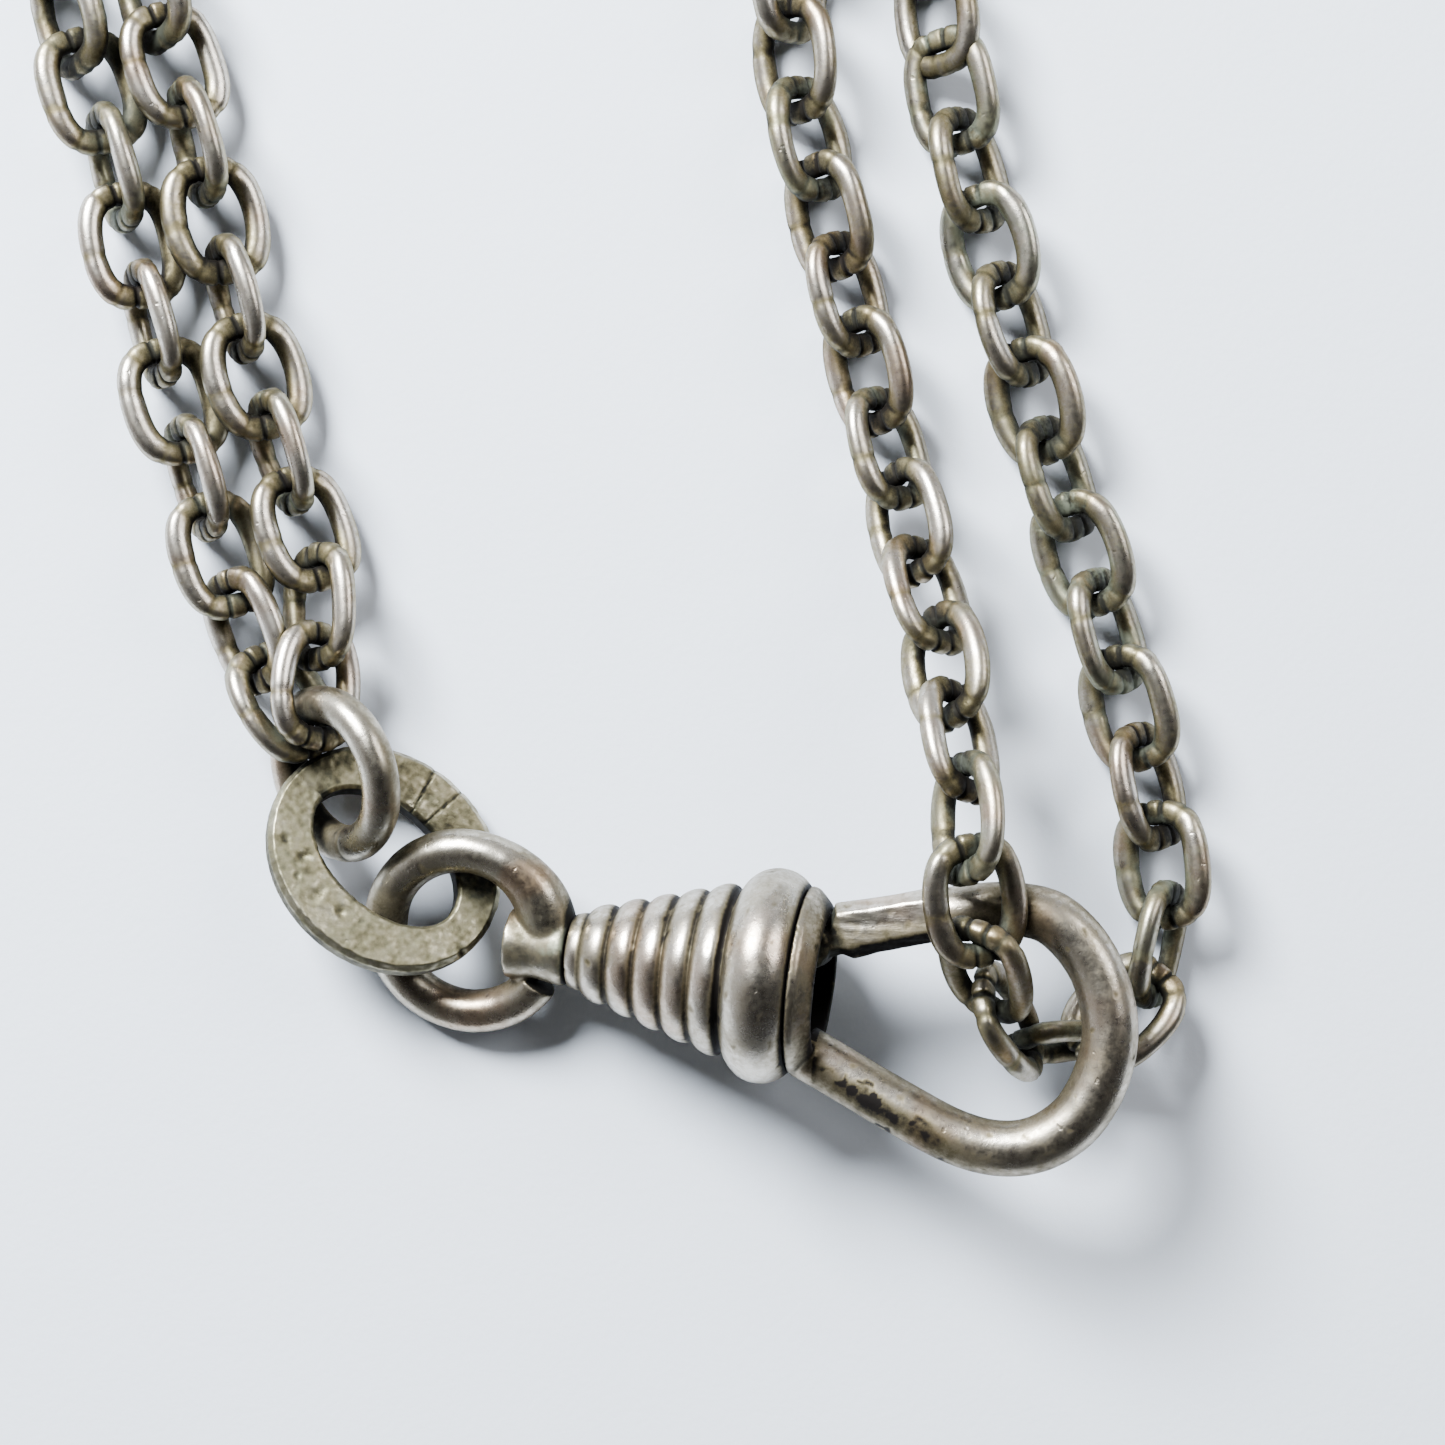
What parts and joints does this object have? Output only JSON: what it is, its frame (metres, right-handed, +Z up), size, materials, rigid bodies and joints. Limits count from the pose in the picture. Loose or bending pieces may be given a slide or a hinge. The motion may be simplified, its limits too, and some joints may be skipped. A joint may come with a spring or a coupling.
{
  "type": "pocket watch chain",
  "caption": "Guard chain for a pocket watch: fine oval links on a jump ring and flat ring, with a ribbed swivel snap hook whose sprung gate closes on the chain.",
  "frame": {"origin": "on the table under the middle of the laid-out snap and visible chain, without the stored runs and coil", "axes": "+Z up from the table, +Y along the strands away from the snap, +X from the flat ring towards the hook"},
  "size_m": [0.0532, 0.0991, 0.0086],
  "materials": {
    "snap_silver": "aged silver, polished by wear, with dark tarnish in the creases",
    "ring_silver": "aged silver, soft shine with fine scratches",
    "chain_silver": "tarnished silver, bright where the links rub",
    "inner_steel": "dull spring steel"
  },
  "bodies": {
    "snap": {"barrel": "snap_silver", "hook": "snap_silver", "gate_pin": "inner_steel", "gate_spring": "inner_steel", "swivel_washer": "inner_steel", "hook_link_1": "chain_silver", "run_a": "chain_silver", "run_b": "chain_silver", "run_c": "chain_silver", "run_d": "chain_silver", "chain_coil": "chain_silver"},
    "gate": {"gate": "snap_silver"},
    "swivel": {"swivel_eye": "snap_silver"},
    "flat_ring": {"flat_ring": "ring_silver"},
    "jump_ring": {"jump_ring": "ring_silver"},
    "chain_a_01": {"chain_a_01": "chain_silver"},
    "chain_a_02": {"chain_a_02": "chain_silver"},
    "chain_a_03": {"chain_a_03": "chain_silver"},
    "chain_a_04": {"chain_a_04": "chain_silver"},
    "chain_a_05": {"chain_a_05": "chain_silver"},
    "chain_a_06": {"chain_a_06": "chain_silver"},
    "chain_a_07": {"chain_a_07": "chain_silver"},
    "chain_a_08": {"chain_a_08": "chain_silver"},
    "chain_a_09": {"chain_a_09": "chain_silver"},
    "chain_b_01": {"chain_b_01": "chain_silver"},
    "chain_b_02": {"chain_b_02": "chain_silver"},
    "chain_b_03": {"chain_b_03": "chain_silver"},
    "chain_b_04": {"chain_b_04": "chain_silver"},
    "chain_b_05": {"chain_b_05": "chain_silver"},
    "chain_b_06": {"chain_b_06": "chain_silver"},
    "chain_b_07": {"chain_b_07": "chain_silver"},
    "chain_b_08": {"chain_b_08": "chain_silver"},
    "chain_b_09": {"chain_b_09": "chain_silver"},
    "hook_link_2": {"hook_link_2": "chain_silver"},
    "hook_link_3": {"hook_link_3": "chain_silver"},
    "chain_c_01": {"chain_c_01": "chain_silver"},
    "chain_c_02": {"chain_c_02": "chain_silver"},
    "chain_c_03": {"chain_c_03": "chain_silver"},
    "chain_c_04": {"chain_c_04": "chain_silver"},
    "chain_c_05": {"chain_c_05": "chain_silver"},
    "chain_c_06": {"chain_c_06": "chain_silver"},
    "chain_c_07": {"chain_c_07": "chain_silver"},
    "chain_c_08": {"chain_c_08": "chain_silver"},
    "chain_c_09": {"chain_c_09": "chain_silver"},
    "chain_c_10": {"chain_c_10": "chain_silver"},
    "chain_c_11": {"chain_c_11": "chain_silver"},
    "chain_c_12": {"chain_c_12": "chain_silver"},
    "chain_d_01": {"chain_d_01": "chain_silver"},
    "chain_d_02": {"chain_d_02": "chain_silver"},
    "chain_d_03": {"chain_d_03": "chain_silver"},
    "chain_d_04": {"chain_d_04": "chain_silver"},
    "chain_d_05": {"chain_d_05": "chain_silver"},
    "chain_d_06": {"chain_d_06": "chain_silver"},
    "chain_d_07": {"chain_d_07": "chain_silver"},
    "chain_d_08": {"chain_d_08": "chain_silver"},
    "chain_d_09": {"chain_d_09": "chain_silver"},
    "chain_d_10": {"chain_d_10": "chain_silver"},
    "chain_d_11": {"chain_d_11": "chain_silver"},
    "chain_d_12": {"chain_d_12": "chain_silver"},
    "chain_d_13": {"chain_d_13": "chain_silver"}
  },
  "joints": [
    {"name": "gate_hinge", "type": "hinge", "parent": "snap", "child": "gate", "pos_m": [0.00651, -0.01281, 0.00399], "axis": [0.1811, -0.0206, -0.9833], "range_deg": [0, 16], "stiffness_Nm_per_rad": 0.003, "springref_deg": -5.73},
    {"name": "swivel", "type": "hinge", "parent": "snap", "child": "swivel", "pos_m": [-0.00178, -0.01307, 0.00247], "axis": [-0.9769, 0.1113, -0.1822], "continuous": true},
    {"name": "flat_ring_turn", "type": "hinge", "parent": "swivel", "child": "flat_ring", "pos_m": [-0.0077, -0.01044, 0.00197], "axis": [0.6413, 0.6819, 0.3517], "range_deg": [0, 25]},
    {"name": "jump_ring_turn", "type": "hinge", "parent": "flat_ring", "child": "jump_ring", "pos_m": [-0.01076, -0.00712, 0.00181], "axis": [-0.7776, -0.4889, 0.3953], "range_deg": [0, 20]},
    {"name": "chain_a_lift", "type": "hinge", "parent": "jump_ring", "child": "chain_a_01", "pos_m": [-0.01119, -0.00557, 0.00194], "axis": [0.866, 0.2502, 0.433], "range_deg": [0, 5]},
    {"name": "link_a_02", "type": "hinge", "parent": "chain_a_01", "child": "chain_a_02", "pos_m": [-0.01276, -0.00322, 0.00176], "axis": [0.866, 0.2502, 0.433], "range_deg": [0, 5]},
    {"name": "link_a_03", "type": "hinge", "parent": "chain_a_02", "child": "chain_a_03", "pos_m": [-0.01377, -0.00058, 0.0017], "axis": [0.866, 0.2502, 0.433], "range_deg": [0, 5]},
    {"name": "link_a_04", "type": "hinge", "parent": "chain_a_03", "child": "chain_a_04", "pos_m": [-0.01462, 0.00212, 0.0017], "axis": [0.866, 0.2502, 0.433], "range_deg": [0, 5]},
    {"name": "link_a_05", "type": "hinge", "parent": "chain_a_04", "child": "chain_a_05", "pos_m": [-0.01544, 0.00483, 0.0017], "axis": [0.866, 0.2502, 0.433], "range_deg": [0, 5]},
    {"name": "link_a_06", "type": "hinge", "parent": "chain_a_05", "child": "chain_a_06", "pos_m": [-0.01626, 0.00754, 0.0017], "axis": [0.866, 0.2502, 0.433], "range_deg": [0, 5]},
    {"name": "link_a_07", "type": "hinge", "parent": "chain_a_06", "child": "chain_a_07", "pos_m": [-0.01699, 0.01027, 0.0017], "axis": [0.866, 0.2502, 0.433], "range_deg": [0, 5]},
    {"name": "link_a_08", "type": "hinge", "parent": "chain_a_07", "child": "chain_a_08", "pos_m": [-0.01758, 0.01304, 0.0017], "axis": [0.866, 0.2502, 0.433], "range_deg": [0, 5]},
    {"name": "link_a_09", "type": "hinge", "parent": "chain_a_08", "child": "chain_a_09", "pos_m": [-0.01832, 0.01577, 0.0017], "axis": [0.866, 0.2502, 0.433], "range_deg": [0, 5]},
    {"name": "chain_b_lift", "type": "hinge", "parent": "jump_ring", "child": "chain_b_01", "pos_m": [-0.01082, -0.00522, 0.00282], "axis": [0.9494, 0.2769, -0.1483], "range_deg": [0, 5]},
    {"name": "link_b_02", "type": "hinge", "parent": "chain_b_01", "child": "chain_b_02", "pos_m": [-0.01065, -0.00245, 0.00225], "axis": [0.9494, 0.2769, -0.1483], "range_deg": [0, 5]},
    {"name": "link_b_03", "type": "hinge", "parent": "chain_b_02", "child": "chain_b_03", "pos_m": [-0.01073, 0.00035, 0.00187], "axis": [0.9494, 0.2769, -0.1483], "range_deg": [0, 5]},
    {"name": "link_b_04", "type": "hinge", "parent": "chain_b_03", "child": "chain_b_04", "pos_m": [-0.01166, 0.00302, 0.00168], "axis": [0.9494, 0.2769, -0.1483], "range_deg": [0, 5]},
    {"name": "link_b_05", "type": "hinge", "parent": "chain_b_04", "child": "chain_b_05", "pos_m": [-0.01252, 0.00571, 0.0017], "axis": [0.9494, 0.2769, -0.1483], "range_deg": [0, 5]},
    {"name": "link_b_06", "type": "hinge", "parent": "chain_b_05", "child": "chain_b_06", "pos_m": [-0.01332, 0.00843, 0.0017], "axis": [0.9494, 0.2769, -0.1483], "range_deg": [0, 5]},
    {"name": "link_b_07", "type": "hinge", "parent": "chain_b_06", "child": "chain_b_07", "pos_m": [-0.01406, 0.01116, 0.0017], "axis": [0.9494, 0.2769, -0.1483], "range_deg": [0, 5]},
    {"name": "link_b_08", "type": "hinge", "parent": "chain_b_07", "child": "chain_b_08", "pos_m": [-0.01465, 0.01392, 0.0017], "axis": [0.9494, 0.2769, -0.1483], "range_deg": [0, 5]},
    {"name": "link_b_09", "type": "hinge", "parent": "chain_b_08", "child": "chain_b_09", "pos_m": [-0.01539, 0.01666, 0.0017], "axis": [0.9494, 0.2769, -0.1483], "range_deg": [0, 5]},
    {"name": "hook_link_2_turn", "type": "hinge", "parent": "snap", "child": "hook_link_2", "pos_m": [0.01404, -0.01625, 0.00329], "axis": [0.9798, 0.2, 0], "range_deg": [0, 1.2]},
    {"name": "hook_link_3_turn", "type": "hinge", "parent": "hook_link_2", "child": "hook_link_3", "pos_m": [0.0126, -0.01454, 0.00503], "axis": [0.9798, 0.2, 0], "range_deg": [0, 1.2]},
    {"name": "chain_c_lift", "type": "hinge", "parent": "hook_link_3", "child": "chain_c_01", "pos_m": [0.01213, -0.01245, 0.00687], "axis": [0.9798, 0.2, 0], "range_deg": [0, 12]},
    {"name": "link_c_02", "type": "hinge", "parent": "chain_c_01", "child": "chain_c_02", "pos_m": [0.01171, -0.00969, 0.00733], "axis": [0.9798, 0.2, 0], "range_deg": [0, 12]},
    {"name": "link_c_03", "type": "hinge", "parent": "chain_c_02", "child": "chain_c_03", "pos_m": [0.01162, -0.00698, 0.00652], "axis": [0.9798, 0.2, 0], "range_deg": [0, 12]},
    {"name": "link_c_04", "type": "hinge", "parent": "chain_c_03", "child": "chain_c_04", "pos_m": [0.01133, -0.00445, 0.00529], "axis": [0.9798, 0.2, 0], "range_deg": [0, 12]},
    {"name": "link_c_05", "type": "hinge", "parent": "chain_c_04", "child": "chain_c_05", "pos_m": [0.01085, -0.00196, 0.00404], "axis": [0.9798, 0.2, 0], "range_deg": [0, 12]},
    {"name": "link_c_06", "type": "hinge", "parent": "chain_c_05", "child": "chain_c_06", "pos_m": [0.01028, 0.00056, 0.00288], "axis": [0.9798, 0.2, 0], "range_deg": [0, 12]},
    {"name": "link_c_07", "type": "hinge", "parent": "chain_c_06", "child": "chain_c_07", "pos_m": [0.00965, 0.00317, 0.00199], "axis": [0.9798, 0.2, 0], "range_deg": [0, 12]},
    {"name": "link_c_08", "type": "hinge", "parent": "chain_c_07", "child": "chain_c_08", "pos_m": [0.00896, 0.00588, 0.00156], "axis": [0.9798, 0.2, 0], "range_deg": [0, 12]},
    {"name": "link_c_09", "type": "hinge", "parent": "chain_c_08", "child": "chain_c_09", "pos_m": [0.00824, 0.00862, 0.00142], "axis": [0.9798, 0.2, 0], "range_deg": [0, 12]},
    {"name": "link_c_10", "type": "hinge", "parent": "chain_c_09", "child": "chain_c_10", "pos_m": [0.00754, 0.01136, 0.00142], "axis": [0.9798, 0.2, 0], "range_deg": [0, 12]},
    {"name": "link_c_11", "type": "hinge", "parent": "chain_c_10", "child": "chain_c_11", "pos_m": [0.00684, 0.0141, 0.00142], "axis": [0.9798, 0.2, 0], "range_deg": [0, 12]},
    {"name": "link_c_12", "type": "hinge", "parent": "chain_c_11", "child": "chain_c_12", "pos_m": [0.0062, 0.01686, 0.00142], "axis": [0.9798, 0.2, 0], "range_deg": [0, 12]},
    {"name": "chain_d_lift", "type": "hinge", "parent": "snap", "child": "chain_d_01", "pos_m": [0.01655, -0.01629, 0.00209], "axis": [0.9798, 0.2, 0], "range_deg": [0, 12]},
    {"name": "link_d_02", "type": "hinge", "parent": "chain_d_01", "child": "chain_d_02", "pos_m": [0.01854, -0.01433, 0.00164], "axis": [0.9798, 0.2, 0], "range_deg": [0, 12]},
    {"name": "link_d_03", "type": "hinge", "parent": "chain_d_02", "child": "chain_d_03", "pos_m": [0.0191, -0.01155, 0.00164], "axis": [0.9798, 0.2, 0], "range_deg": [0, 12]},
    {"name": "link_d_04", "type": "hinge", "parent": "chain_d_03", "child": "chain_d_04", "pos_m": [0.0188, -0.00874, 0.00153], "axis": [0.9798, 0.2, 0], "range_deg": [0, 12]},
    {"name": "link_d_05", "type": "hinge", "parent": "chain_d_04", "child": "chain_d_05", "pos_m": [0.01813, -0.00599, 0.00145], "axis": [0.9798, 0.2, 0], "range_deg": [0, 12]},
    {"name": "link_d_06", "type": "hinge", "parent": "chain_d_05", "child": "chain_d_06", "pos_m": [0.01743, -0.00325, 0.00144], "axis": [0.9798, 0.2, 0], "range_deg": [0, 12]},
    {"name": "link_d_07", "type": "hinge", "parent": "chain_d_06", "child": "chain_d_07", "pos_m": [0.01663, -0.00054, 0.00144], "axis": [0.9798, 0.2, 0], "range_deg": [0, 12]},
    {"name": "link_d_08", "type": "hinge", "parent": "chain_d_07", "child": "chain_d_08", "pos_m": [0.01571, 0.00214, 0.00144], "axis": [0.9798, 0.2, 0], "range_deg": [0, 12]},
    {"name": "link_d_09", "type": "hinge", "parent": "chain_d_08", "child": "chain_d_09", "pos_m": [0.01484, 0.00483, 0.00144], "axis": [0.9798, 0.2, 0], "range_deg": [0, 12]},
    {"name": "link_d_10", "type": "hinge", "parent": "chain_d_09", "child": "chain_d_10", "pos_m": [0.01409, 0.00756, 0.00144], "axis": [0.9798, 0.2, 0], "range_deg": [0, 12]},
    {"name": "link_d_11", "type": "hinge", "parent": "chain_d_10", "child": "chain_d_11", "pos_m": [0.0133, 0.01028, 0.00144], "axis": [0.9798, 0.2, 0], "range_deg": [0, 12]},
    {"name": "link_d_12", "type": "hinge", "parent": "chain_d_11", "child": "chain_d_12", "pos_m": [0.01253, 0.013, 0.00144], "axis": [0.9798, 0.2, 0], "range_deg": [0, 12]},
    {"name": "link_d_13", "type": "hinge", "parent": "chain_d_12", "child": "chain_d_13", "pos_m": [0.01183, 0.01574, 0.00144], "axis": [0.9798, 0.2, 0], "range_deg": [0, 12]}
  ],
  "couplings": [
    {"joint": "link_a_02", "follows": "chain_a_lift", "ratio": 1},
    {"joint": "link_a_03", "follows": "chain_a_lift", "ratio": 1},
    {"joint": "link_a_04", "follows": "chain_a_lift", "ratio": 1},
    {"joint": "link_a_05", "follows": "chain_a_lift", "ratio": 1},
    {"joint": "link_a_06", "follows": "chain_a_lift", "ratio": 1},
    {"joint": "link_a_07", "follows": "chain_a_lift", "ratio": 1},
    {"joint": "link_a_08", "follows": "chain_a_lift", "ratio": 1},
    {"joint": "link_a_09", "follows": "chain_a_lift", "ratio": 1},
    {"joint": "link_b_02", "follows": "chain_b_lift", "ratio": 1},
    {"joint": "link_b_03", "follows": "chain_b_lift", "ratio": 1},
    {"joint": "link_b_04", "follows": "chain_b_lift", "ratio": 1},
    {"joint": "link_b_05", "follows": "chain_b_lift", "ratio": 1},
    {"joint": "link_b_06", "follows": "chain_b_lift", "ratio": 1},
    {"joint": "link_b_07", "follows": "chain_b_lift", "ratio": 1},
    {"joint": "link_b_08", "follows": "chain_b_lift", "ratio": 1},
    {"joint": "link_b_09", "follows": "chain_b_lift", "ratio": 1},
    {"joint": "link_c_02", "follows": "chain_c_lift", "ratio": 1},
    {"joint": "link_c_03", "follows": "chain_c_lift", "ratio": 1},
    {"joint": "link_c_04", "follows": "chain_c_lift", "ratio": 1},
    {"joint": "link_c_05", "follows": "chain_c_lift", "ratio": 1},
    {"joint": "link_c_06", "follows": "chain_c_lift", "ratio": 1},
    {"joint": "link_c_07", "follows": "chain_c_lift", "ratio": 1},
    {"joint": "link_c_08", "follows": "chain_c_lift", "ratio": 1},
    {"joint": "link_c_09", "follows": "chain_c_lift", "ratio": 1},
    {"joint": "link_c_10", "follows": "chain_c_lift", "ratio": 1},
    {"joint": "link_c_11", "follows": "chain_c_lift", "ratio": 1},
    {"joint": "link_c_12", "follows": "chain_c_lift", "ratio": 1},
    {"joint": "link_d_02", "follows": "chain_d_lift", "ratio": 1},
    {"joint": "link_d_03", "follows": "chain_d_lift", "ratio": 1},
    {"joint": "link_d_04", "follows": "chain_d_lift", "ratio": 1},
    {"joint": "link_d_05", "follows": "chain_d_lift", "ratio": 1},
    {"joint": "link_d_06", "follows": "chain_d_lift", "ratio": 1},
    {"joint": "link_d_07", "follows": "chain_d_lift", "ratio": 1},
    {"joint": "link_d_08", "follows": "chain_d_lift", "ratio": 1},
    {"joint": "link_d_09", "follows": "chain_d_lift", "ratio": 1},
    {"joint": "link_d_10", "follows": "chain_d_lift", "ratio": 1},
    {"joint": "link_d_11", "follows": "chain_d_lift", "ratio": 1},
    {"joint": "link_d_12", "follows": "chain_d_lift", "ratio": 1},
    {"joint": "link_d_13", "follows": "chain_d_lift", "ratio": 1},
    {"joint": "hook_link_2_turn", "follows": "chain_c_lift", "ratio": 0.1},
    {"joint": "hook_link_3_turn", "follows": "chain_c_lift", "ratio": 0.1}
  ]
}
